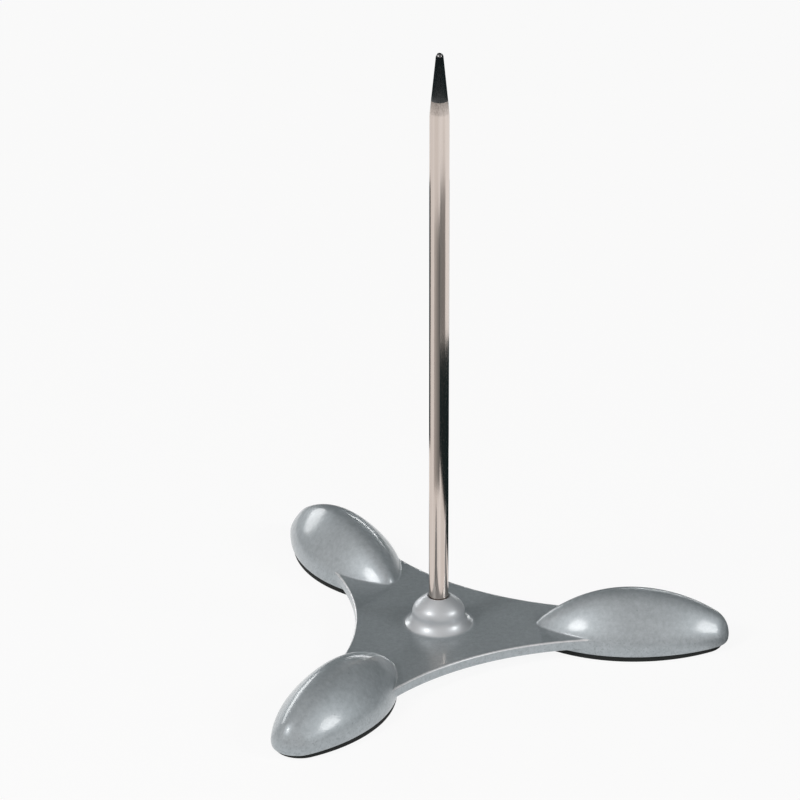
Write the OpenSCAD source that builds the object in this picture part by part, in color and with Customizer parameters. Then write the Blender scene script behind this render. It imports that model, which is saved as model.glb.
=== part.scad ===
// Desk spike for bills and memos: an upright steel rod with a black point,
// held in a cast three-armed base whose egg-shaped feet stand on black pads.
// The rod's axis is the Z axis, the pads stand on z = 0, and one foot lies along +X.

/* [Whole object] */
// Height from the table to the point
height = 160; // [120:1:200]
// Number of flats that round shapes show on screen
$fn = 96; // [48:8:160]

/* [Feet] */
// From the rod's axis to the widest section of a foot
foot_place = 49; // [46:0.5:56]
// From the widest section to the foot's outer end
foot_outer_len = 25.6; // [22:0.1:30]
// From the widest section to the foot's inner end
foot_inner_len = 24; // [20:0.1:28]
// Radius of the widest section
foot_r = 11.4; // [10.4:0.1:13]
// Radius of the rounded outer end
foot_outer_end_r = 6.6; // [5:0.1:8.5]
// Radius of the rounded inner end
foot_inner_end_r = 5; // [4.5:0.1:8]
// Height of the foot's long axis above the table
foot_axis_z = 3.4; // [2.8:0.1:4]
// Wall of the foot, which is cast hollow from below
foot_wall = 3; // [2:0.1:4]

/* [Web] */
// Height of the web's top face above the table
web_top_z = 5.4; // [4.8:0.1:7]
// Thickness of the web
web_t = 2.8; // [2:0.1:3]
// From the rod's axis to the nearest point of a hollow side
waist = 21.4; // [18:0.1:24]
// Radius of a hollow side
bay_r = 72; // [66:1:110]
// Rounding of the web's top and bottom edges
web_edge_r = 0.7; // [0.3:0.1:0.9]

/* [Boss] */
// Height of the boss above the web
boss_h = 7.7; // [7.2:0.1:11]
// Radius of the boss's dome
dome_r = 6.8; // [6.4:0.1:8]
// Width of the flat lip between the dome and the mouth
lip = 0.15; // [0.1:0.05:0.5]
// Radius of the hollow flare from the dome to the web
flare_r = 2.3; // [1:0.1:4]
// Width of the open ring round the rod at the top of the boss
mouth_gap = 0.35; // [0.2:0.05:0.8]
// Depth of that ring
mouth_depth = 1.2; // [0.5:0.1:1.5]
// Metal between the rod's socket and the nut's recess
socket_floor = 2; // [1.5:0.1:2.5]

/* [Rod] */
// Diameter of the rod
rod_d = 5; // [4:0.1:6]
// How much the rod's foot is turned down to fit its socket, on the radius
seat_step = 0.25; // [0.2:0.05:0.3]
// Diameter of the threaded stud at the rod's foot
stud_d = 3; // [2.5:0.1:3.2]
// Length of the stud that shows past the nut
stud_spare = 0.3; // [0.1:0.1:0.5]
// Length of the taper, from the point down to the full diameter
taper_len = 16; // [13:0.5:24]
// Radius of the blunt point
point_r = 0.95; // [0.7:0.05:1.4]

/* [Black point] */
// Length of the black point
cap_len = 12.2; // [10:0.1:12.8]
// Diameter of the rod's spigot inside it
spigot_d = 1.6; // [1.2:0.1:2]
// Length of that spigot
spigot_len = 7; // [4:0.5:7.5]

/* [Nut and washer] */
// Width of the nut across its flats
nut_flats = 5.5; // [5:0.1:6.5]
// Height of the nut
nut_h = 2.4; // [1.8:0.1:3]
// Diameter of the washer
washer_d = 7; // [6.6:0.1:8]
// Thickness of the washer
washer_t = 0.5; // [0.4:0.1:1]
// How far the nut stays above the web's underside
nut_sink = 0.5; // [0.4:0.1:0.9]

/* [Pads] */
// Thickness of a pad
pad_t = 1.3; // [0.8:0.1:2]
// How far a pad's edge lies inside the foot's widest outline
pad_inset = 0.2; // [0.1:0.1:1.5]
// How much further the pad's outer end is drawn in
pad_end_inset = 1.6; // [0:0.1:3]

/* [Fits] */
// Play of a close fit, on the radius
close_play = 0.05; // [0.02:0.01:0.1]
// Play of the stud and the washer in their holes, on the radius
free_play = 0.15; // [0.1:0.05:0.3]
// Room round the washer in its recess
recess_room = 0.5; // [0.3:0.1:0.7]

/* [Hidden] */

FEET = 3;
foot_step = 360 / FEET;
// A little extra so that a cut runs clear of the face that it opens
over = 1;

rod_r = rod_d / 2;
seat_r = rod_r - seat_step;
stud_r = stud_d / 2;
spigot_r = spigot_d / 2;
washer_r = washer_d / 2;

// Heights at the boss, from the web's underside up
web_bottom_z = web_top_z - web_t;
nut_z = web_bottom_z + nut_sink;
washer_z = nut_z + nut_h;
recess_top_z = washer_z + washer_t;
socket_z = recess_top_z + socket_floor;
boss_top_z = web_top_z + boss_h;
mouth_r = rod_r + mouth_gap;
recess_r = washer_r + recess_room;

// The dome's ball reaches the lip at the top, and the flare's arc touches ball and web
dome_z = boss_top_z - sqrt(pow(dome_r, 2) - pow(mouth_r + lip, 2));
flare_z = web_top_z + flare_r;
flare_place = sqrt(pow(dome_r + flare_r, 2) - pow(flare_z - dome_z, 2));
touch_z = dome_z + (flare_z - dome_z) * dome_r / (dome_r + flare_r);

// The taper is a straight cone that runs into the ball of the blunt point
taper_z = height - taper_len;
ball_z = height - point_r;
taper_axis = ball_z - taper_z;
taper_angle = acos(point_r / norm([rod_r, taper_axis])) - atan2(taper_axis, rod_r);
cap_z = height - cap_len;
spigot_top_z = cap_z + spigot_len;
bore_top_room = 0.3;

function taper_r(z) = rod_r - (z - taper_z) * tan(taper_angle);

// Radius of the long side arc of an egg whose half has this length, middle radius and end radius
function side_r(len, mid_r, end_r) =
    (pow(len - end_r, 2) + pow(mid_r, 2) - pow(end_r, 2)) / (2 * (mid_r - end_r));

// Where the side arc meets the end arc, measured from the widest section
function join_x(len, mid_r, end_r) =
    (len - end_r) * side_r(len, mid_r, end_r) / (side_r(len, mid_r, end_r) - end_r);

// One half of the egg's outline, drawn to +X from the widest section
module half_egg(len, mid_r, end_r) {
    arc_r = side_r(len, mid_r, end_r);
    reach = join_x(len, mid_r, end_r);
    intersection() {
        translate([0, arc_r - mid_r]) circle(r = arc_r);
        translate([0, mid_r - arc_r]) circle(r = arc_r);
        translate([0, -mid_r - over]) square([reach, 2 * (mid_r + over)]);
    }
    translate([len - end_r, 0]) circle(r = end_r);
}

// The egg's whole outline, with every edge moved in by inset
module egg_outline(inset, end_inset) {
    half_egg(foot_outer_len - inset - end_inset, foot_r - inset, foot_outer_end_r - inset);
    mirror([1, 0]) half_egg(foot_inner_len - inset, foot_r - inset, foot_inner_end_r - inset);
}

// The egg turned about its long axis, which lies along X at the foot's height
module egg_solid(inset) {
    translate([foot_place, 0, foot_axis_z])
        rotate([0, 90, 0])
            rotate_extrude()
                intersection() {
                    rotate(90) egg_outline(inset, 0);
                    translate([0, -foot_inner_len]) square([foot_r, foot_inner_len + foot_outer_len]);
                }
}

module foot() {
    intersection() {
        egg_solid(0);
        translate([0, -foot_r, pad_t])
            cube([foot_place + foot_outer_len, 2 * foot_r, foot_axis_z + foot_r]);
    }
}

// Everything outside a hollow side, turned so that it leaves the web's edges rounded
module bay_cutter() {
    translate([waist + bay_r, 0, 0])
        rotate_extrude()
            difference() {
                translate([0, web_bottom_z - over]) square([bay_r + web_edge_r, web_t + 2 * over]);
                translate([bay_r, web_bottom_z + web_edge_r])
                    square([web_edge_r + over, web_t - 2 * web_edge_r]);
                for (z = [web_bottom_z + web_edge_r, web_top_z - web_edge_r])
                    translate([bay_r + web_edge_r, z]) circle(r = web_edge_r);
            }
}

module web() {
    difference() {
        translate([0, 0, web_bottom_z]) cylinder(h = web_t, r = foot_place);
        for (i = [0 : FEET - 1]) rotate((i + 0.5) * foot_step) bay_cutter();
    }
}

module boss() {
    rotate_extrude()
        intersection() {
            union() {
                translate([0, dome_z]) circle(r = dome_r);
                difference() {
                    translate([0, web_bottom_z]) square([flare_place, touch_z - web_bottom_z]);
                    translate([flare_place, flare_z]) circle(r = flare_r);
                }
            }
            translate([0, web_bottom_z]) square([flare_place, boss_top_z - web_bottom_z]);
        }
}

// Socket for the rod, its open mouth, the stud's hole and the nut's recess
module rod_seat() {
    translate([0, 0, socket_z]) cylinder(h = boss_h + over, r = seat_r + close_play);
    translate([0, 0, boss_top_z - mouth_depth]) cylinder(h = mouth_depth + over, r = mouth_r);
    translate([0, 0, recess_top_z - over]) cylinder(h = socket_floor + 2 * over, r = stud_r + free_play);
    translate([0, 0, web_bottom_z - over]) cylinder(h = recess_top_z - web_bottom_z + over, r = recess_r);
}

module base_casting() {
    color([0.60, 0.63, 0.64])
        difference() {
            union() {
                web();
                boss();
                for (i = [0 : FEET - 1]) rotate(i * foot_step) foot();
            }
            for (i = [0 : FEET - 1]) rotate(i * foot_step) egg_solid(foot_wall);
            rod_seat();
        }
}

module spike_rod() {
    color([0.74, 0.68, 0.64]) {
        translate([0, 0, nut_z - stud_spare]) cylinder(h = socket_z - nut_z + stud_spare, r = stud_r);
        translate([0, 0, socket_z]) cylinder(h = boss_top_z - socket_z, r = seat_r);
        translate([0, 0, boss_top_z]) cylinder(h = taper_z - boss_top_z, r = rod_r);
        translate([0, 0, taper_z]) cylinder(h = cap_z - taper_z, r1 = rod_r, r2 = taper_r(cap_z));
        translate([0, 0, cap_z]) cylinder(h = spigot_len, r = spigot_r);
    }
}

module tip_cap() {
    cone_top_z = ball_z + point_r * sin(taper_angle);
    color([0.03, 0.03, 0.04])
        difference() {
            union() {
                translate([0, 0, cap_z])
                    cylinder(h = cone_top_z - cap_z, r1 = taper_r(cap_z), r2 = taper_r(cone_top_z));
                translate([0, 0, ball_z]) sphere(r = point_r);
            }
            translate([0, 0, cap_z - over])
                cylinder(h = spigot_len + bore_top_room + over, r = spigot_r + close_play);
        }
}

module rod_washer() {
    color([0.70, 0.70, 0.68])
        translate([0, 0, washer_z])
            difference() {
                cylinder(h = washer_t, r = washer_r);
                translate([0, 0, -over]) cylinder(h = washer_t + 2 * over, r = stud_r + free_play);
            }
}

// Hexagon nut, its lower corners turned off
module rod_nut() {
    corner_r = nut_flats / 2 / cos(30);
    turned = corner_r - nut_flats / 2;
    color([0.70, 0.70, 0.68])
        translate([0, 0, nut_z])
            difference() {
                intersection() {
                    cylinder(h = nut_h, r = corner_r, $fn = 6);
                    cylinder(h = nut_h, r1 = nut_flats / 2, r2 = nut_flats / 2 + nut_h / tan(30));
                }
                translate([0, 0, -over]) cylinder(h = nut_h + 2 * over, r = stud_r + close_play);
            }
}

module pad(i) {
    color([0.05, 0.06, 0.06])
        rotate(i * foot_step)
            translate([foot_place, 0, 0])
                linear_extrude(pad_t) egg_outline(pad_inset, pad_end_inset);
}

module pad_right() { pad(0); }
module pad_rear() { pad(1); }
module pad_front() { pad(2); }

base_casting();
spike_rod();
tip_cap();
rod_washer();
rod_nut();
pad_right();
pad_rear();
pad_front();
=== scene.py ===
from math import acos, atan2, cos, hypot, pi, radians, sin, tan

import bmesh
import bpy
import numpy as np
from mathutils import Matrix, Quaternion, Vector


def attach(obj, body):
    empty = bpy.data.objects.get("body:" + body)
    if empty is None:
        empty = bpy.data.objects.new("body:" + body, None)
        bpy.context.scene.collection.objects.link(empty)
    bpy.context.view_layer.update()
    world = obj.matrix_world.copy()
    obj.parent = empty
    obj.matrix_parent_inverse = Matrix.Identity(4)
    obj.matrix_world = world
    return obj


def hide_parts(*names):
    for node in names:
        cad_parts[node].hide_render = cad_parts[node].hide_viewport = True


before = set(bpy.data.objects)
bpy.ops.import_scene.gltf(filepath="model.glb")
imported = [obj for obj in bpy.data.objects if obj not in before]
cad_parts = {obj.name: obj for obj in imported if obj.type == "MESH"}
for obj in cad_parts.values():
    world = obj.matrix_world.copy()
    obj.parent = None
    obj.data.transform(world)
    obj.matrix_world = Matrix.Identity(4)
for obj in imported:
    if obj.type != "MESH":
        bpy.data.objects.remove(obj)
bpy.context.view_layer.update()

# A desk bill spike: a nickel-plated rod with a black point, in a lacquered casting
# with three egg-shaped feet on rubber pads. Sizes are in millimetres until a mesh is made.
MM = 0.001

# Camera: how far it is from the rod's foot, and its degrees right of the front and above level
CAMERA_AWAY = 1149.44
CAMERA_AROUND = 0.567
CAMERA_ABOVE = 26.995

# Feet: egg shapes that lie level. PLACE is how far out each has its middle, and OUTER and INNER are
# how far it reaches from there
FOOT_PLACE = 49.26
FOOT_OUTER = 25.27
FOOT_INNER = 24.54
FOOT_HALF_WIDTH = 11.5
OUTER_END_R = 6.53
INNER_END_R = 5.02
FOOT_AXIS_Z = 2.81
CREST_RISE = 1.08
SHOULDER_DRAW = 0.1
FOOT_WALL = 3.0

# Pads: the same outline as the feet, a little smaller
PAD_TOP = 1.3
PAD_OUTER = 23.6
PAD_INNER = 23.8
PAD_HALF_WIDTH = 11.2
PAD_OUTER_END_R = 6.3
PAD_INNER_END_R = 4.8
PAD_ROUND = 0.25
PAD_CHAMFER = 0.12

# Web: a flat plate with three hollow sides, each an arc about a point BAY_PLACE out. Beyond WEB_REACH
# only the feet show
WEB_TOP = 5.4
WEB_THICK = 2.8
BAY_R = 71.6
BAY_PLACE = 93.0
WEB_EDGE_R = 0.6
FOOT_FILLET_R = 0.35
RIM_EDGE_R = 0.3
WEB_REACH = 40

# The skin of web and feet is found on a grid of this step, in a block a little larger than they are
SKIN_STEP = 0.5
SKIN_LOW = (-43, -68, 0.4)
SKIN_HIGH = (77, 68, 16.4)

# Boss and what sits in it
BOSS_TOP = 13.1
BOSS_FOOT_R = 8.8
DOME_R = 6.8
SHOULDER_R = 3.6
CROWN_R = 12.0
MOUTH_R = 2.85
LIP = 0.15
LIP_ROUND = 0.12
MOUTH_ROUND = 0.05
MOUTH_DEPTH = 1.2
SEAT_R = 2.25
SEAT_GAP = 0.05
SEAT_ROUND = 0.15
STUD_HOLE_R = 1.65
SOCKET_Z = 8.0
RECESS_TOP = 6.0
RECESS_R = 4.0
RECESS_EDGE = 0.3

# The boss's skirt, from its neck down to the web: the radius of each hollow arc, and the angles
# above level that its face turns between
SKIRT = [(3.0, 0, 35), (6.4, 35, 50), (0.5, 50, 90)]

# Where the turned boss joins the skin of the web: its last rings of points on the flat, above and
# below, and how far out the skin is cut away for it
JOIN_ABOVE = (BOSS_FOOT_R + 2, BOSS_FOOT_R + 1)
JOIN_BELOW = (5.6, 7.2)
CUT_ABOVE_R = BOSS_FOOT_R + 2.8
CUT_BELOW_R = 8.0

# Rod and point
ROD_R = 2.5
SHAFT_RINGS = (14.5, 40, 75, 110, 140)
STUD_R = 1.5
STUD_CHAMFER = 0.1
THREAD_PITCH = 0.5
THREAD_DEPTH = 0.3
THREAD_STEPS = 8
THREAD_FADE = 0.4
THREAD_SPARE = 0.8
STUD_END_Z = 2.8
TAPER_Z = 144.0
TAPER_BEND_R = 14
CAP_Z = 147.8
CAP_RINGS = (0, 1, 3, 6, 9)
POINT_R = 0.95
HEIGHT = 160.0
BALL_Z = HEIGHT - POINT_R
SPIGOT_R = 0.8
SPIGOT_TOP_Z = 154.8
SPIGOT_ROUND = 0.2
BORE_GAP = 0.05
BORE_SPARE = 0.3

# The cone's lean from upright: it leaves the rod at the taper and ends smoothly in the point's ball
TAPER_LEAN = acos(POINT_R / hypot(ROD_R, BALL_Z - TAPER_Z)) - atan2(BALL_Z - TAPER_Z, ROD_R)

# Nut and washer
NUT_FLATS = 5.5
NUT_Z = 3.1
NUT_H = 2.4
NUT_GAP = 0.05
NUT_FACE_R = NUT_FLATS / 2 * 0.985
NUT_CHAMFER_ANGLE = 30
COUNTERSINK = 0.3
WASHER_R = 3.5
WASHER_Z = 5.5
WASHER_T = 0.5
WASHER_GAP = 0.15

ARMS = [(cos(i * 2 * pi / 3), sin(i * 2 * pi / 3)) for i in range(3)]
BAYS = [(cos((i + 0.5) * 2 * pi / 3), sin((i + 0.5) * 2 * pi / 3)) for i in range(3)]
PADS = ["pad_right", "pad_rear", "pad_front"]


def set_camera():
    """Long lens, a little over a metre away and 27 degrees up"""
    around, above = radians(CAMERA_AROUND), radians(CAMERA_ABOVE)
    yaw, pitch, roll = radians(1.115), radians(23.903), radians(-0.112)
    toward = Vector((sin(around) * cos(above), -cos(around) * cos(above), sin(above)))
    place = toward * (CAMERA_AWAY * MM)
    ahead = Vector((-sin(yaw) * cos(pitch), cos(yaw) * cos(pitch), -sin(pitch)))
    level = ahead.cross(Vector((0, 0, 1))).normalized()
    upright = level.cross(ahead)
    right = level * cos(roll) + upright * sin(roll)
    up = upright * cos(roll) - level * sin(roll)
    data = bpy.data.cameras.new("studio_camera")
    data.sensor_width = 36
    data.lens = 200.64
    data.clip_end = 30
    camera = bpy.data.objects.new("studio_camera", data)
    bpy.context.scene.collection.objects.link(camera)
    turned = Matrix((right, up, -ahead)).transposed().to_4x4()
    camera.matrix_world = Matrix.Translation(place) @ turned
    bpy.context.scene.camera = camera


def side_radius(length, middle_r, end_r):
    """Radius of the long side arc that runs into an egg's end arc"""
    return ((length - end_r) ** 2 + middle_r ** 2 - end_r ** 2) / (2 * (middle_r - end_r))


def egg_gap(u, q):
    """Distance from the foot's side outline: u along the foot, q out from its long axis"""
    gaps = []
    for length, end_r in ((FOOT_OUTER, OUTER_END_R), (FOOT_INNER, INNER_END_R)):
        arc_r = side_radius(length, FOOT_HALF_WIDTH, end_r)
        drop = arc_r - FOOT_HALF_WIDTH
        far = np.abs(u)
        past = far * drop - (q + drop) * (length - end_r) > 0
        side = np.hypot(far, q + drop) - arc_r
        end = np.hypot(far - (length - end_r), q) - end_r
        gaps.append(np.where(past, end, side))
    return np.where(u > 0, gaps[0], gaps[1])


def foot_gap(x, y, z):
    """Distance from the skin of the foot that lies along x"""
    rise = (z - FOOT_AXIS_Z) / CREST_RISE
    out = np.sqrt(y ** 2 + rise ** 2 + 1e-6)
    # The section is a circle, drawn in halfway between its sides and its crest
    draw = 4 * SHOULDER_DRAW
    q = out + draw * y ** 2 * rise ** 2 / out ** 3
    q_y = y / out + draw * (2 * y * rise ** 2 / out ** 3 - 3 * y ** 3 * rise ** 2 / out ** 5)
    q_z = rise / out + draw * (2 * y ** 2 * rise / out ** 3 - 3 * y ** 2 * rise ** 3 / out ** 5)
    # Divided by how fast it grows, the outline's distance is the skin's own
    slope = np.sqrt(q_y ** 2 + (q_z / CREST_RISE) ** 2)
    return egg_gap(x - FOOT_PLACE, q) / np.clip(slope, 0.6, 1.2)


def filleted(a, b, r):
    """Both solids together, with a hollow fillet where they meet"""
    near = np.hypot(np.maximum(r - a, 0), np.maximum(r - b, 0))
    return np.maximum(r, np.minimum(a, b)) - near


def eased_common(a, b, r):
    """What two solids share, with a rounded edge where their skins cross"""
    far = np.hypot(np.maximum(r + a, 0), np.maximum(r + b, 0))
    return np.minimum(-r, np.maximum(a, b)) + far


def casting_gap(p):
    """Distance from the skin of the casting without its boss, negative inside"""
    x, y, z = p[..., 0], p[..., 1], p[..., 2]
    along = np.stack([x * c + y * s for c, s in ARMS])
    across = np.stack([y * c - x * s for c, s in ARMS])
    nearest = along.argmax(0)[None]
    foot = foot_gap(np.take_along_axis(along, nearest, 0)[0],
                    np.take_along_axis(across, nearest, 0)[0], z)
    bays = [BAY_R - np.hypot(x - BAY_PLACE * c, y - BAY_PLACE * s) for c, s in BAYS]
    plan = np.maximum(np.maximum(bays[0], bays[1]), bays[2])
    plan = np.maximum(plan, np.hypot(x, y) - FOOT_PLACE)
    thick = np.abs(z - WEB_TOP + WEB_THICK / 2) - WEB_THICK / 2
    web = eased_common(plan, thick, WEB_EDGE_R)
    cut = eased_common(foot, PAD_TOP - z, RIM_EDGE_R)
    return eased_common(filleted(web, cut, FOOT_FILLET_R), -foot - FOOT_WALL, RIM_EDGE_R)


def slope_of(gap, p, step=0.01):
    """Direction in which the distance grows fastest, as long as it grows fast, at each point"""
    sides = [(gap(p + step * axis) - gap(p - step * axis)) / (2 * step) for axis in np.eye(3)]
    return np.stack(sides, -1)


def skin(gap, low, high, step):
    """Points and four-sided faces of the surface where the distance is nought"""
    low, high = np.array(low, float), np.array(high, float)
    count = np.ceil((high - low) / step).astype(int) + 1
    axes = [low[i] + step * np.arange(count[i]) for i in range(3)]
    value = gap(np.stack(np.meshgrid(*axes, indexing="ij"), -1))
    cells = tuple(count - 1)
    total, hits = np.zeros(cells + (3,)), np.zeros(cells)
    crossings = []
    for a in range(3):
        b, c = (a + 1) % 3, (a + 2) % 3
        first = [slice(None)] * 3
        second = [slice(None)] * 3
        first[a], second[a] = slice(0, -1), slice(1, None)
        start, stop = value[tuple(first)], value[tuple(second)]
        crossed = (start < 0) != (stop < 0)
        i, j, k = np.nonzero(crossed)
        here = np.stack([i, j, k], -1)
        part = start[crossed] / (start[crossed] - stop[crossed])
        point = low + step * here
        point[:, a] += step * part
        crossings.append((a, b, c, here, start[crossed] < 0))
        for back_b in (0, 1):
            for back_c in (0, 1):
                cell = here.copy()
                cell[:, b] -= back_b
                cell[:, c] -= back_c
                ok = ((cell >= 0) & (cell < np.array(cells))).all(1)
                at = tuple(cell[ok].T)
                np.add.at(total, at, point[ok])
                np.add.at(hits, at, 1)
    used = hits > 0
    number = np.full(cells, -1)
    number[used] = np.arange(used.sum())
    points = total[used] / hits[used][:, None]
    faces = []
    for a, b, c, here, outward in crossings:
        ring = []
        for back_b, back_c in ((1, 1), (0, 1), (0, 0), (1, 0)):
            cell = here.copy()
            cell[:, b] -= back_b
            cell[:, c] -= back_c
            ring.append(number[tuple(cell.T)])
        quads = np.stack(ring, -1)
        quads[~outward] = quads[~outward][:, ::-1]
        faces.append(quads)
    return points, np.concatenate(faces)


def unit(vectors):
    """The same directions, each one long"""
    return vectors / np.linalg.norm(vectors, axis=1)[:, None]


def settle(gap, p, rounds=4):
    """Points moved on to the surface along its slope"""
    for _ in range(rounds):
        slope = slope_of(gap, p)
        p = p - gap(p)[:, None] * slope / (slope ** 2).sum(1)[:, None]
    return p


def relax(gap, p, faces, rounds=6):
    """Points spread evenly over the surface, each drawn towards the middle of its neighbours"""
    ends = np.concatenate([faces[:, [i, (i + 1) % 4]] for i in range(4)])
    for _ in range(rounds):
        mean = np.zeros_like(p)
        for axis in range(3):
            mean[:, axis] = np.bincount(ends[:, 0], p[ends[:, 1], axis], len(p))
        mean /= np.bincount(ends[:, 0], minlength=len(p))[:, None]
        out = unit(slope_of(gap, p))
        shift = 0.5 * (mean - p)
        shift -= (shift * out).sum(1)[:, None] * out
        p = settle(gap, p + shift, 1)
    return settle(gap, p)


def eased(corners, closed=False, steps=5):
    """An outline whose corners (r, z, rounding) are each turned into a short arc"""
    done = []
    for i, (r, z, ease) in enumerate(corners):
        here = np.array((r, z), float)
        if not ease or (not closed and i in (0, len(corners) - 1)):
            done.append(here)
            continue
        before = np.array(corners[i - 1][:2], float) - here
        after = np.array(corners[(i + 1) % len(corners)][:2], float) - here
        before /= hypot(*before)
        after /= hypot(*after)
        half = acos(max(-1.0, min(1.0, float(before @ after)))) / 2
        middle = here + (before + after) / hypot(*(before + after)) * ease / sin(half)
        start = here + before * ease / tan(half) - middle
        stop = here + after * ease / tan(half) - middle
        a0 = atan2(start[1], start[0])
        sweep = (atan2(stop[1], stop[0]) - a0 + pi) % (2 * pi) - pi
        for k in range(steps + 1):
            a = a0 + sweep * k / steps
            done.append(middle + ease * np.array((cos(a), sin(a))))
    return done


def lathe(outline, turns=96, ring=False):
    """Points and faces of an outline turned about the rod. outline(angle) gives its (r, z) points"""
    shapes = [outline(2 * pi * i / turns) for i in range(turns)]
    points, number = [], []
    for k in range(len(shapes[0])):
        if all(shape[k][0] < 1e-9 for shape in shapes):
            number.append([len(points)] * turns)
            points.append((0, 0, shapes[0][k][1]))
            continue
        number.append(list(range(len(points), len(points) + turns)))
        for i, shape in enumerate(shapes):
            a = 2 * pi * i / turns
            points.append((shape[k][0] * cos(a), shape[k][0] * sin(a), shape[k][1]))
    rows = list(zip(number, number[1:] + number[:1] if ring else number[1:]))
    faces = []
    for low, high in rows:
        for i in range(turns):
            j = (i + 1) % turns
            face = [low[i], low[j], high[j], high[i]]
            faces.append(list(dict.fromkeys(face)))
    return np.array(points, float), faces


def shown(name, points, faces, finish, normals=None, crease=35):
    """A smooth mesh object in metres, creased where its faces meet at a sharp angle"""
    mesh = bpy.data.meshes.new(name)
    mesh.from_pydata([tuple(p) for p in np.asarray(points) * MM], [], [tuple(f) for f in faces])
    mesh.validate()
    mesh.shade_smooth()
    mesh.set_sharp_from_angle(angle=radians(crease))
    if normals is not None:
        mesh.normals_split_custom_set_from_vertices([tuple(n) for n in normals])
    mesh.materials.append(finish)
    piece = bpy.data.objects.new(name, mesh)
    bpy.context.scene.collection.objects.link(piece)
    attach(piece, "root")
    return piece


def arc(r, z, radius, start, stop, steps):
    """Points along an arc about (r, z), between two angles up from the radius"""
    turn = (stop - start) / steps
    angles = [start + k * turn for k in range(steps + 1)]
    return [(r + radius * cos(a), z + radius * sin(a)) for a in angles]


def boss_outline():
    """From the web's top in over the boss, down through the rod's seat, and out under the web"""
    rises = [radius * (sin(radians(stop)) - sin(radians(start))) for radius, start, stop in SKIRT]
    waist_z = WEB_TOP + sum(rises)
    skirt = [(DOME_R, waist_z)]
    for radius, start, stop in SKIRT:
        a, b = radians(start), radians(stop)
        r, z = skirt[-1][0] + radius * cos(a), skirt[-1][1] + radius * sin(a)
        skirt += arc(r, z, radius, a + pi, b + pi, 5)[1:]
    shoulder_place = DOME_R - SHOULDER_R
    rim_r = MOUTH_R + LIP
    # The crown's arc leaves the shoulder's arc smoothly and ends at the rim
    apart = CROWN_R - SHOULDER_R
    to_rim = hypot(rim_r - shoulder_place, BOSS_TOP - waist_z)
    corner = acos((apart ** 2 + to_rim ** 2 - CROWN_R ** 2) / (2 * apart * to_rim))
    join = atan2(BOSS_TOP - waist_z, rim_r - shoulder_place) + corner - pi
    crown_r, crown_z = shoulder_place - apart * cos(join), waist_z - apart * sin(join)
    rim = atan2(BOSS_TOP - crown_z, rim_r - crown_r)
    short_of_rim = rim - 0.02
    path = [(r, WEB_TOP) for r in JOIN_ABOVE]
    path += skirt[::-1]
    path += arc(shoulder_place, waist_z, SHOULDER_R, 0, join, 8)[1:]
    path += arc(crown_r, crown_z, CROWN_R, join, short_of_rim, 5)[1:]
    mouth_z = BOSS_TOP - MOUTH_DEPTH
    socket_r = SEAT_R + SEAT_GAP
    inner = [(*path[-1], 0), (rim_r, BOSS_TOP, LIP_ROUND), (MOUTH_R, BOSS_TOP, MOUTH_ROUND),
             (MOUTH_R, mouth_z, 0), (socket_r, mouth_z, 0), (socket_r, SOCKET_Z, 0),
             (STUD_HOLE_R, SOCKET_Z, 0), (STUD_HOLE_R, RECESS_TOP, 0), (RECESS_R, RECESS_TOP, 0)]
    path += [tuple(q) for q in eased(inner)[1:]]
    under = WEB_TOP - WEB_THICK
    path += [(RECESS_R, under + RECESS_EDGE), (RECESS_R + RECESS_EDGE, under)]
    path += [(r, under) for r in JOIN_BELOW]
    return path


def refined(gap, bm, bend=14, rounds=2):
    """The mesh with its edges halved where the skin bends sharply along them"""
    for _ in range(rounds):
        points = np.array([v.co for v in bm.verts])
        out = unit(slope_of(gap, points))
        ends = np.array([(e.verts[0].index, e.verts[1].index) for e in bm.edges])
        turned = (out[ends[:, 0]] * out[ends[:, 1]]).sum(1) < cos(radians(bend))
        edges = [e for e, sharp in zip(bm.edges, turned) if sharp]
        bmesh.ops.subdivide_edges(bm, edges=edges, cuts=1, use_grid_fill=True)
        points = settle(gap, np.array([v.co for v in bm.verts]))
        for v, p in zip(bm.verts, points):
            v.co = p
        bm.verts.index_update()


def make_casting(finish):
    """Web, boss and three hollow feet as one skin"""
    points, faces = skin(casting_gap, SKIN_LOW, SKIN_HIGH, SKIN_STEP)
    points = relax(casting_gap, settle(casting_gap, points), faces)
    bm = bmesh.new()
    for p in points:
        bm.verts.new(p)
    bm.verts.ensure_lookup_table()
    for face in faces:
        bm.faces.new([bm.verts[v] for v in face])
    bm.verts.index_update()
    refined(casting_gap, bm)

    inner = []
    for v in bm.verts:
        above = v.co.z > WEB_TOP - WEB_THICK / 2
        if hypot(v.co.x, v.co.y) < (CUT_ABOVE_R if above else CUT_BELOW_R):
            inner.append(v)
    bmesh.ops.delete(bm, geom=inner, context="VERTS")
    outline = boss_outline()
    boss_points, boss_faces = lathe(lambda a: outline)
    ring = [bm.verts.new(p) for p in boss_points]
    for face in boss_faces:
        bm.faces.new([ring[v] for v in face])
    close = 0.4
    for z, up in ((WEB_TOP, 1), (WEB_TOP - WEB_THICK, -1)):
        edges = [e for e in bm.edges if e.is_boundary and abs(e.verts[0].co.z - z) < close]
        bmesh.ops.triangle_fill(bm, use_beauty=True, use_dissolve=False, edges=edges, normal=(0, 0, up))
    bm.verts.index_update()
    points = np.array([v.co for v in bm.verts])
    faces = [[v.index for v in face.verts] for face in bm.faces]
    normals = unit(slope_of(casting_gap, points))
    normals[[v.index for v in ring]] = 0
    bm.free()
    piece = shown("lacquered_casting", points, faces, finish, normals, crease=30)
    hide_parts("base_casting")


def taper_r(z):
    """Radius of the rod's cone, which runs on into the point"""
    return ROD_R - (z - TAPER_Z) * tan(TAPER_LEAN)


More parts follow.
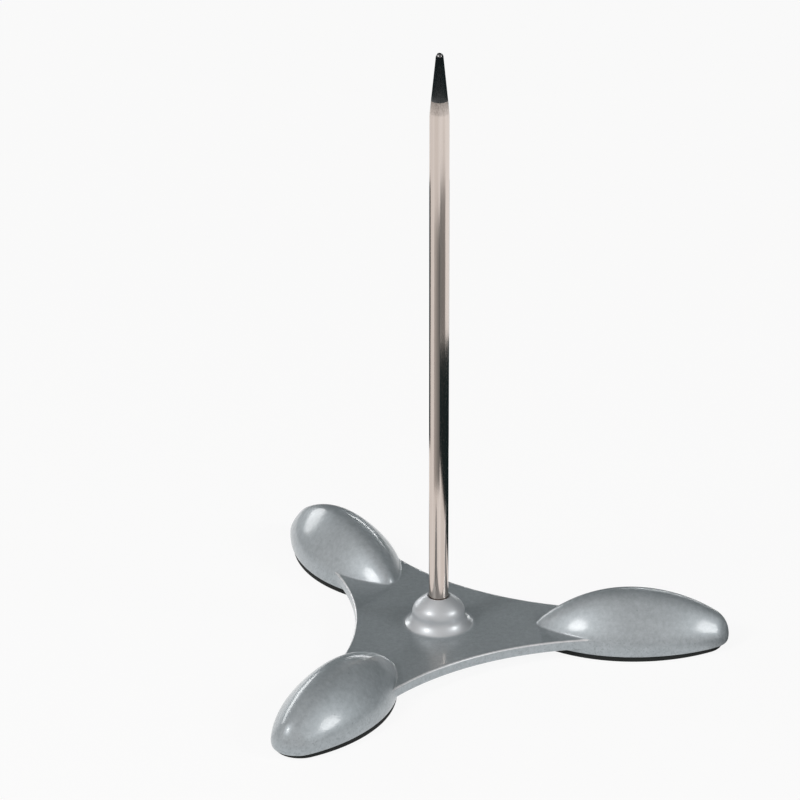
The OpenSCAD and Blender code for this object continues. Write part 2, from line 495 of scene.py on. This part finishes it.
def make_rod(finish):
    """Rod with its threaded stud, turned-down seat, cone and spigot"""
    thread_top = WASHER_Z + WASHER_T + THREAD_SPARE
    thread_step = THREAD_PITCH / THREAD_STEPS
    rows = int((thread_top - STUD_END_Z) / thread_step)
    first_z = STUD_END_Z + 0.02
    above_thread, below_bend = thread_top + 0.1, TAPER_Z - 0.9
    seat = eased([(STUD_R, above_thread, 0), (STUD_R, SOCKET_Z, 0), (SEAT_R, SOCKET_Z, SEAT_ROUND),
                  (SEAT_R, BOSS_TOP, 0), (ROD_R, BOSS_TOP, 0)], steps=3)
    shaft = [(ROD_R, z) for z in (*SHAFT_RINGS, below_bend)]
    foot = (taper_r(CAP_Z), CAP_Z, 0)
    bend = eased([(ROD_R, below_bend, 0), (ROD_R, TAPER_Z, TAPER_BEND_R), foot], steps=6)[1:]
    spigot = eased([foot, (SPIGOT_R, CAP_Z, 0), (SPIGOT_R, SPIGOT_TOP_Z, SPIGOT_ROUND),
                    (0, SPIGOT_TOP_Z, 0)], steps=3)[1:]

    def outline(a):
        thread = [(0, STUD_END_Z), (STUD_R - THREAD_DEPTH - STUD_CHAMFER, STUD_END_Z)]
        for k in range(rows + 1):
            z = first_z + k * thread_step
            wave = (z / THREAD_PITCH - a / (2 * pi)) % 1
            depth = THREAD_DEPTH * abs(2 * wave - 1)
            fade = min(1, (z - STUD_END_Z) / THREAD_FADE + 0.1)
            thread.append((STUD_R - THREAD_DEPTH * (1 - fade) - depth * fade, z))
        return thread + [tuple(q) for q in seat + shaft + bend + spigot]

    piece = shown("nickel_rod", *lathe(outline, turns=64), finish)
    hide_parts("spike_rod")


def make_point(finish):
    """Black point: a cone that runs into a small ball, bored for the spigot"""
    bore_r, bore_z = SPIGOT_R + BORE_GAP, SPIGOT_TOP_Z + BORE_SPARE
    bore = [(0, bore_z), (bore_r, bore_z), (bore_r, CAP_Z)]
    cone = [(taper_r(CAP_Z + rise), CAP_Z + rise) for rise in CAP_RINGS]
    ball = arc(0, BALL_Z, POINT_R, TAPER_LEAN, pi / 2, 10)
    path = bore + cone + ball
    piece = shown("black_point", *lathe(lambda a: path, turns=64), finish)
    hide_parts("tip_cap")


def make_washer(finish):
    """Flat washer with its edges a little rolled by the punch"""
    bore, top = STUD_R + WASHER_GAP, WASHER_Z + WASHER_T
    rolled, half_rolled, crisp = 0.18, 0.1, 0.05
    path = eased([(bore, WASHER_Z, half_rolled), (WASHER_R, WASHER_Z, rolled), (WASHER_R, top, crisp),
                  (bore, top, crisp)], closed=True, steps=3)
    piece = shown("plated_washer", *lathe(lambda a: path, turns=64, ring=True), finish, crease=50)
    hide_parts("rod_washer")


def make_nut(finish):
    """Hexagon nut, chamfered at both ends and at its thread"""
    bore, top = STUD_R + NUT_GAP, NUT_Z + NUT_H
    sunk_r = bore + COUNTERSINK

    def outline(a):
        turn = (a + pi / 6) % (pi / 3) - pi / 6
        edge = NUT_FLATS / 2 / cos(turn)
        fall = (edge - NUT_FACE_R) * tan(radians(NUT_CHAMFER_ANGLE))
        return [(sunk_r, NUT_Z), (NUT_FACE_R, NUT_Z), (edge, NUT_Z + fall), (edge, top - fall),
                (NUT_FACE_R, top), (sunk_r, top), (bore, top - COUNTERSINK), (bore, NUT_Z + COUNTERSINK)]

    piece = shown("plated_nut", *lathe(outline, turns=72, ring=True), finish, crease=25)
    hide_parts("rod_nut")


def pad_outline(steps=14):
    """Points round a pad, from its outer end the whole way, in the foot's own plane"""
    half = []
    for length, end_r, sign in ((PAD_OUTER, PAD_OUTER_END_R, 1), (PAD_INNER, PAD_INNER_END_R, -1)):
        arc_r = side_radius(length, PAD_HALF_WIDTH, end_r)
        drop = arc_r - PAD_HALF_WIDTH
        lean = atan2(length - end_r, drop)
        quarter = []
        for k in range(steps + 1):
            a = lean * k / steps
            quarter.append((sign * arc_r * sin(a), arc_r * cos(a) - drop))
        for k in range(1, steps + 1):
            a = lean + (pi / 2 - lean) * k / steps
            quarter.append((sign * (length - end_r + end_r * sin(a)), end_r * cos(a)))
        half.append(quarter)
    upper = half[0][::-1] + half[1][1:]
    lower = [(x, -y) for x, y in upper[::-1]][1:-1]
    return np.array(upper + lower)


def make_pad(i, finish):
    """Flat rubber pad cut to the foot's outline"""
    edge = pad_outline()
    ahead = np.roll(edge, -1, 0) - np.roll(edge, 1, 0)
    out = unit(np.stack([ahead[:, 1], -ahead[:, 0]], -1))
    halfway = 0.28 * PAD_ROUND
    side = [(edge - out * PAD_ROUND, 0), (edge - out * halfway, halfway), (edge, PAD_ROUND),
            (edge, PAD_TOP - PAD_CHAMFER), (edge - out * PAD_CHAMFER, PAD_TOP)]
    shares = (0.45, 0.9)
    below = [(edge * share, 0) for share in shares]
    above = [(edge * share, PAD_TOP) for share in shares[::-1]]
    rows = below + side + above
    n = len(edge)
    points = [(0, 0, 0)]
    for flat, z in rows:
        points += [(x, y, z) for x, y in flat]
    points.append((0, 0, PAD_TOP))
    faces = []
    for j in range(n):
        k = (j + 1) % n
        faces.append((0, 1 + k, 1 + j))
        for row in range(len(rows) - 1):
            low, high = 1 + row * n, 1 + (row + 1) * n
            faces.append((low + j, low + k, high + k, high + j))
        last = 1 + (len(rows) - 1) * n
        faces.append((last + j, last + k, len(points) - 1))
    c, s = ARMS[i]
    points = np.array(points, float)
    points[:, 0] += FOOT_PLACE
    x = points[:, 0] * c - points[:, 1] * s
    y = points[:, 0] * s + points[:, 1] * c
    points[:, 0], points[:, 1] = x, y
    piece = shown("rubber_" + PADS[i], points, faces, finish, crease=60)
    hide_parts(PADS[i])


class Value:
    """A socket, so that shader maths reads as Python"""

    def __init__(self, tree, socket):
        self.tree = tree
        self.socket = socket

    def maths(self, operation, *inputs):
        """The result of a Math node"""
        return self.tree.node("ShaderNodeMath", {"operation": operation}, dict(enumerate(inputs)))

    def __add__(self, other):
        return self.maths("ADD", self, other)

    __radd__ = __add__

    def __sub__(self, other):
        return self.maths("SUBTRACT", self, other)

    def __rsub__(self, other):
        return self.maths("SUBTRACT", other, self)

    def __mul__(self, other):
        return self.maths("MULTIPLY", self, other)

    __rmul__ = __mul__

    def between(self, low, high):
        """Nought at low, one at high, smooth on the way"""
        settings = {"interpolation_type": "SMOOTHSTEP"}
        return self.tree.node("ShaderNodeMapRange", settings, {0: self, 1: low, 2: high, 3: 0.0, 4: 1.0})


class Tree:
    """The nodes of a material or of the room"""

    def __init__(self, node_tree):
        self.nodes = node_tree.nodes
        self.links = node_tree.links

    def node(self, kind, settings=None, sockets=None, out=0):
        """Any node: its settings first, then the values or links of its sockets"""
        new = self.nodes.new(kind)
        for key, value in (settings or {}).items():
            setattr(new, key, value)
        for key, value in (sockets or {}).items():
            if isinstance(value, Value):
                self.links.new(value.socket, new.inputs[key])
            else:
                new.inputs[key].default_value = value
        return Value(self, new.outputs[out])

    def mix(self, share, one, other):
        """Colour that goes from one to the other as share goes from nought to one"""
        return self.node("ShaderNodeMix", {"data_type": "RGBA"}, {0: share, 6: one, 7: other}, out=2)


class Finish(Tree):
    """A material built from nodes, and the shader that they feed"""

    def __init__(self, name, **uniform):
        self.material = bpy.data.materials.new(name)
        self.material.use_nodes = True
        super().__init__(self.material.node_tree)
        self.shader = self.nodes["Principled BSDF"]
        for label, value in uniform.items():
            self.shader.inputs[label.replace("_", " ")].default_value = value

    def place(self, scale=(1000, 1000, 1000)):
        """Where a point lies on the object, in millimetres, stretched by the scale"""
        spot = self.node("ShaderNodeTexCoord", out=3)
        return self.node("ShaderNodeVectorMath", {"operation": "MULTIPLY"}, {0: spot, 1: scale})

    def noise(self, where, size, detail=2.0, roughness=0.5):
        """Soft blotches about size millimetres across"""
        sockets = {"Vector": where, "Scale": 1 / size, "Detail": detail, "Roughness": roughness}
        return self.node("ShaderNodeTexNoise", sockets=sockets)

    def cells(self, where, scale):
        """Distance from the nearest of scattered points, about scale of them to a millimetre"""
        return self.node("ShaderNodeTexVoronoi", {"feature": "F1"}, {"Vector": where, "Scale": scale})

    def bump(self, height, depth):
        """Relief of that depth in millimetres"""
        return self.node("ShaderNodeBump", sockets={"Distance": depth * MM, "Height": height})

    def feed(self, **sockets):
        """The material, with each of these links in the shader's socket of that name"""
        for label, value in sockets.items():
            self.links.new(value.socket, self.shader.inputs[label.replace("_", " ")])
        return self.material


def lacquer():
    """Silver-grey metallic lacquer with fine flake, a slight orange peel and dust near the table,
    painted shade on the web's flat top and a painted highlight on its upper edge
    """
    dark_grey, pale_grey = (0.315, 0.355, 0.376, 1), (0.492, 0.54, 0.57, 1)
    warm_silver, edge_highlight_silver = (0.86, 0.84, 0.85, 1), (0.86, 0.86, 0.87, 1)
    finish = Finish("cast_lacquer", Metallic=0.5, Coat_Roughness=0.15, Coat_IOR=1.5)
    where = finish.place()
    height = finish.node("ShaderNodeSeparateXYZ", sockets={0: where}, out=2)
    level = finish.place((1000, 1000, 0))
    out = finish.node("ShaderNodeVectorMath", {"operation": "LENGTH"}, {0: level}, out=1)
    normal = finish.node("ShaderNodeNewGeometry", out=1)
    rise = finish.node("ShaderNodeSeparateXYZ", sockets={0: normal}, out=2)

    flake = finish.noise(where, size=1.3, detail=3.0, roughness=0.8)
    cloud = finish.noise(where, size=9.0)
    low = 1 - height.between(1.5, 8.5)
    dust = finish.noise(where, size=0.5).between(0.54, 0.70) * low
    pit = 1 - finish.cells(where, 1 / 6).between(0.03, 0.055)
    # The boss is paler than the feet. Painted shade: the web's flat top, which faces up, is painted a
    # little darker
    boss = 1 - out.between(BOSS_FOOT_R - 0.4, BOSS_FOOT_R + 0.6)
    dome = 1 - out.between(DOME_R + 0.1, DOME_R + 1.2)
    flat = rise.between(0.97, 0.995) * (1 - height.between(WEB_TOP + 0.1, WEB_TOP + 0.8))
    flat = flat * out.between(BOSS_FOOT_R + 0.2, BOSS_FOOT_R + 1.2)
    # Painted highlight: a bright line painted into the base colour along the web's rounded upper edge
    band = height.between(WEB_TOP - 0.55, WEB_TOP - 0.4)
    band = band * (1 - height.between(WEB_TOP - 0.01, WEB_TOP + 0.05))
    band = band * (1 - out.between(WEB_REACH, WEB_REACH + 4))
    edge = rise.between(0.32, 0.5) * (1 - rise.between(0.93, 0.99)) * band
    painted_edge_highlight = edge * (0.25 + flake * 0.8)

    # The flat term is the painted shade on the web's top
    shade = flake + (cloud - 0.5) * 0.25 - dust * 0.55 - pit * 0.4 + boss * 0.6 - flat * 0.18
    colour = finish.mix(shade.between(0.0, 1.0), dark_grey, pale_grey)
    colour = finish.mix(boss * 0.25, colour, warm_silver)
    # The painted highlight along the web's upper edge
    colour = finish.mix(painted_edge_highlight, colour, edge_highlight_silver)
    rough = 0.50 + (flake - 0.5) * 0.12 + (cloud - 0.5) * 0.06 - boss * 0.06
    gloss = 0.75 - dome * 0.5
    peel = finish.noise(where, size=1.3, detail=1.0)
    relief = finish.bump(peel * 0.7 + flake * 0.3, depth=0.0045)
    return finish.feed(Base_Color=colour, Roughness=rough, Coat_Weight=gloss, Normal=relief)


def nickel():
    """Warm nickel plate over drawn wire, with faint lengthwise lines"""
    darker, paler = (0.60, 0.52, 0.47, 1), (0.70, 0.62, 0.57, 1)
    finish = Finish("nickel_plate", Metallic=1.0)
    lines = finish.noise(finish.place((1000, 1000, 12)), size=0.16)
    bands = finish.noise(finish.place((1000, 1000, 4)), size=1.4, detail=1.0)
    specks = finish.noise(finish.place(), size=0.5).between(0.62, 0.8)
    colour = finish.mix(bands.between(0.3, 0.7), darker, paler)
    rough = 0.10 + (lines - 0.5) * 0.10 + specks * 0.08
    relief = finish.bump(lines, depth=0.006)
    return finish.feed(Base_Color=colour, Roughness=rough, Normal=relief)


def black_gloss():
    """Glossy black, a little uneven"""
    darker, paler = (0.004, 0.006, 0.007, 1), (0.009, 0.012, 0.013, 1)
    finish = Finish("black_gloss", IOR=1.8, Coat_Weight=1.0, Coat_IOR=2.0, Coat_Roughness=0.05)
    ripple = finish.noise(finish.place(), size=1.1)
    colour = finish.mix(ripple, darker, paler)
    rough = 0.05 + (ripple - 0.5) * 0.04
    relief = finish.bump(ripple, depth=0.0008)
    return finish.feed(Base_Color=colour, Roughness=rough, Normal=relief)


def zinc():
    """Bright zinc plate with the crystal bloom of plating"""
    darker, paler = (0.50, 0.52, 0.52, 1), (0.62, 0.62, 0.60, 1)
    finish = Finish("zinc_plate", Metallic=1.0)
    where = finish.place()
    bloom = finish.cells(where, 1.6)
    haze = finish.noise(where, size=0.6, detail=3.0)
    colour = finish.mix(haze, darker, paler)
    rough = 0.24 + bloom * 0.10 + (haze - 0.5) * 0.14
    relief = finish.bump(haze, depth=0.01)
    return finish.feed(Base_Color=colour, Roughness=rough, Normal=relief)


def rubber():
    """Matt black cellular rubber with open pores"""
    clean, soiled = (0.008, 0.010, 0.010, 1), (0.020, 0.023, 0.022, 1)
    finish = Finish("pad_rubber", Specular_IOR_Level=0.3)
    where = finish.place()
    pores = finish.cells(where, 2.4).between(0.0, 0.45)
    soil = finish.noise(where, size=3.0)
    colour = finish.mix(soil, clean, soiled)
    rough = 0.82 + (soil - 0.5) * 0.15
    relief = finish.bump(pores, depth=0.05)
    return finish.feed(Base_Color=colour, Roughness=rough, Normal=relief)


# The studio is in metres. Each lamp: degrees right of straight behind the object, degrees up, its
# two widths, its brightness, its turn in its own plane in degrees, and how far away it is
LAMPS = [("lamp_left", -129, 40.5, (0.19, 0.19), 14.4, 0, 0.68),
         ("lamp_right", 111, 30, (0.36, 0.36), 10.9, 0, 1.2),
         ("window_left", -34, 11, (0.60, 0.32), 4.0, 0, 1.2),
         ("strip_right", 14, 12, (0.62, 0.06), 10.0, 26, 1.2)]
LAMP_AIM_Z = 0.02

# The room's colour behind the object and in front of it. It turns from one into the other between
# the two edges, where -1 is straight in front and 1 straight behind, turned right by some degrees
ROOM_BEHIND = (0.0, 0.014, 0.017, 1)
ROOM_IN_FRONT = (0.645, 0.61, 0.595, 1)
ROOM_EDGE = (-0.5, 0.65)
ROOM_TURN = 25

# The floor's size, how far it lies under the pads, and how far it reads white to the camera and in
# polished surfaces
FLOOR_R = 6
FLOOR_DROP = 0.00005
FLOOR_GLOW = 0.90

# Painted shade: dark sheets on the floor that only polished surfaces mirror. Degrees from point to
# point, their height, how wide and how pale the soft near edge is, and how much nearer than it must the
# far sheet begins
SHADE_SHEET_STEP = 3
SHADE_SHEET_Z = 0.0002
SHADE_SHEET_FADE = 0.008
SHADE_SHEET_PALE = 0.95
SHADE_SHEET_SPARE = 0.001


def seam_edge(count):
    """Distance from the rod, at even steps all round from straight behind, at which the far shade sheet
    begins: just nearer than the floor that the cone mirrors to the camera where nickel meets black"""
    front, up = CAMERA_AWAY * cos(radians(CAMERA_ABOVE)), CAMERA_AWAY * sin(radians(CAMERA_ABOVE))
    dip = atan2(up - CAP_Z, front)
    # From the cone's outline, as the camera sees it, round to the cone's front
    turn = np.linspace(acos(-tan(TAPER_LEAN) * tan(dip)), 0, 400)
    level = np.stack([np.sin(turn), -np.cos(turn)], -1)
    point = np.column_stack([level * taper_r(CAP_Z), np.full_like(turn, CAP_Z)])
    out = unit(np.column_stack([level, np.full_like(turn, tan(TAPER_LEAN))]))
    ray = unit(point - (0, -front, up))
    mirrored = ray - 2 * (ray * out).sum(1)[:, None] * out
    place = point - mirrored * (CAP_Z / mirrored[:, 2])[:, None]
    around = np.degrees(np.arctan2(place[:, 0], place[:, 1]))
    away = np.hypot(place[:, 0], place[:, 1]) * MM
    steps = 180 - np.abs(180 - np.linspace(0, 360, count))
    return np.interp(steps, around, away) - SHADE_SHEET_FADE - SHADE_SHEET_SPARE


# Each dark sheet of painted shade: from and to, in degrees right of straight behind the object, how far
# its near edge lies from the rod at even steps between, and its far edge, and how pale it is at both
# ends
SHADE_SHEETS = [("shade_sheet_right", 20, 171, (0.030, 0.112), 0.20, (0.01, 0.01)),
          ("shade_sheet_front", 171, 240, (0.095, 0.095), 0.30, (0.15, 0.8)),
          ("shade_sheet_right_far", 105, 171, (0.20, 0.20), 0.33, (0.45, 0.3)),
          ("shade_sheet_behind", 296, 380, (0.12, 0.12), 0.33, (0.02, 0.02)),
          ("shade_sheet_far", 0, 360, seam_edge(13), FLOOR_R - 0.1, (0.01, 0.01))]


def make_floor():
    """Plain pale floor that reads white and keeps the shadow, and is clear from below"""
    bpy.ops.mesh.primitive_circle_add(vertices=96, radius=FLOOR_R, fill_type="NGON",
                                      location=(0, 0, -FLOOR_DROP))
    floor = bpy.context.object
    floor.name = "studio_floor"
    finish = Finish("studio_floor", Base_Color=(0.82, 0.82, 0.82, 1), Roughness=0.9)
    camera, glossy, through = [finish.node("ShaderNodeLightPath", out=kind) for kind in
                               ("Is Camera Ray", "Is Glossy Ray", "Is Transmission Ray")]
    seen = camera + glossy + through
    white = finish.node("ShaderNodeEmission", sockets={"Color": (1, 1, 1, 1), "Strength": 1.0})
    plain = Value(finish, finish.shader.outputs[0])
    pale = finish.node("ShaderNodeMixShader", sockets={0: seen * FLOOR_GLOW, 1: plain, 2: white})
    back = finish.node("ShaderNodeNewGeometry", out="Backfacing")
    clear = finish.node("ShaderNodeBsdfTransparent")
    both = finish.node("ShaderNodeMixShader", sockets={0: back, 1: pale, 2: clear})
    finish.links.new(both.socket, finish.nodes["Material Output"].inputs["Surface"])
    floor.data.materials.append(finish.material)


def make_shade_sheet(name, start, stop, near, far, shades):
    """Painted shade: a dark sheet on the floor that polished surfaces mirror as a dark reflection, and
    the camera doesn't see it
    """
    count = int((stop - start) / SHADE_SHEET_STEP)
    points, shade = [], []
    for i in range(count + 1):
        share = i / count
        a = radians(start + (stop - start) * share)
        pale = shades[0] + (shades[1] - shades[0]) * share
        edge = np.interp(share, np.linspace(0, 1, len(near)), near)
        points += [(sin(a) * r, cos(a) * r, SHADE_SHEET_Z) for r in (edge, edge + SHADE_SHEET_FADE, far)]
        shade += [SHADE_SHEET_PALE, pale, pale]
    faces = []
    for i in range(3 * count):
        if i % 3 < 2:
            faces.append((i, i + 1, i + 4, i + 3))
    mesh = bpy.data.meshes.new(name)
    mesh.from_pydata(points, [], faces)
    mesh.attributes.new("shade", "FLOAT", "POINT").data.foreach_set("value", shade)
    finish = Finish(name, Roughness=0.9, Specular_IOR_Level=0.1)
    level = finish.node("ShaderNodeAttribute", {"attribute_name": "shade"}, out=2)
    dark, white = (0.0, 0.015, 0.018, 1), (1, 1, 1, 1)
    mesh.materials.append(finish.feed(Base_Color=finish.mix(level, dark, white)))
    shade_sheet = bpy.data.objects.new(name, mesh)
    bpy.context.scene.collection.objects.link(shade_sheet)
    shade_sheet.visible_camera = shade_sheet.visible_diffuse = shade_sheet.visible_shadow = False


def add_lamp(name, around, above, size, brightness, turn, distance):
    """Soft oval lamp that faces the object. Its power is its brightness times its face times pi"""
    data = bpy.data.lights.new(name, "AREA")
    data.shape = "ELLIPSE"
    data.size, data.size_y = size
    face = pi / 4 * size[0] * size[1]
    data.energy = brightness * pi * face
    lamp = bpy.data.objects.new(name, data)
    bpy.context.scene.collection.objects.link(lamp)
    a, e = radians(around), radians(above)
    toward = Vector((sin(a) * cos(e), cos(a) * cos(e), sin(e)))
    lamp.location = Vector((0, 0, LAMP_AIM_Z)) + toward * distance
    turned = toward.to_track_quat("Z", "Y") @ Quaternion((0, 0, 1), radians(turn))
    lamp.rotation_euler = turned.to_euler()


def light_studio():
    """Two soft lamps in front, a window and a strip low behind, and a room that is paler in front"""
    for lamp in LAMPS:
        add_lamp(*lamp)
    world = bpy.data.worlds.new("studio_room")
    bpy.context.scene.world = world
    world.use_nodes = True
    room = Tree(world.node_tree)
    axis = (sin(radians(ROOM_TURN)), cos(radians(ROOM_TURN)), 0)
    place = room.node("ShaderNodeTexCoord")
    away = room.node("ShaderNodeVectorMath", {"operation": "DOT_PRODUCT"}, {0: place, 1: axis}, out=1)
    colour = room.mix(away.between(*ROOM_EDGE), ROOM_IN_FRONT, ROOM_BEHIND)
    room.links.new(colour.socket, room.nodes["Background"].inputs["Color"])


set_camera()
make_casting(lacquer())
make_rod(nickel())
make_point(black_gloss())
plate = zinc()
make_washer(plate)
make_nut(plate)
foam = rubber()
for number in range(len(PADS)):
    make_pad(number, foam)
make_floor()
# Dark sheets of painted shade, seen only in polished surfaces
for shade_sheet in SHADE_SHEETS:
    make_shade_sheet(*shade_sheet)
light_studio()
bpy.context.scene.view_settings.view_transform = "Standard"
